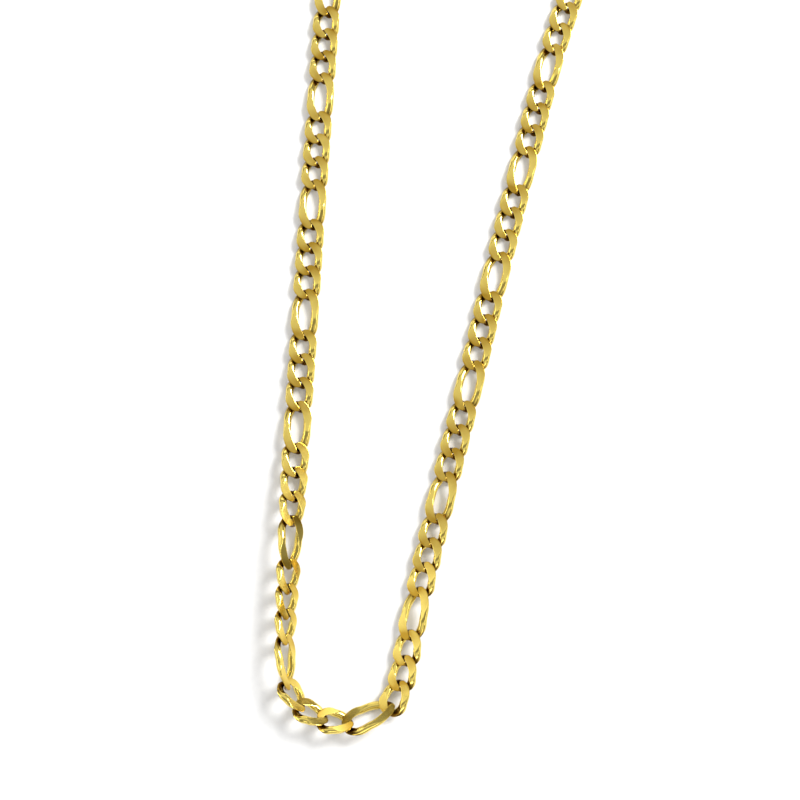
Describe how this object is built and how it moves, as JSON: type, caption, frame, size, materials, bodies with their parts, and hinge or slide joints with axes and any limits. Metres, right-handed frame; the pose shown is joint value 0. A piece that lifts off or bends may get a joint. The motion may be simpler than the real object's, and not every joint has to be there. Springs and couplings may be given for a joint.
{
  "type": "figaro chain necklace",
  "caption": "Flat curb-style necklace chain of short and long oval links that repeat in a figaro pattern, laid as one closed loop with a lobster clasp and two jump rings.",
  "frame": {"origin": "middle of the loop's bounding box, on the surface that the chain lies on", "axes": "+Z up from the surface, +Y from the loop's narrow front end towards the clasp, +X to the right seen from above with +Y up"},
  "size_m": [0.0726, 0.2338, 0.0046],
  "materials": {
    "gold_plate": "polished"
  },
  "bodies": {
    "root": {"chain_left": "gold_plate", "chain_right": "gold_plate", "clasp_ring": "gold_plate", "end_ring": "gold_plate", "lobster_clasp": "gold_plate"}
  },
  "joints": []
}
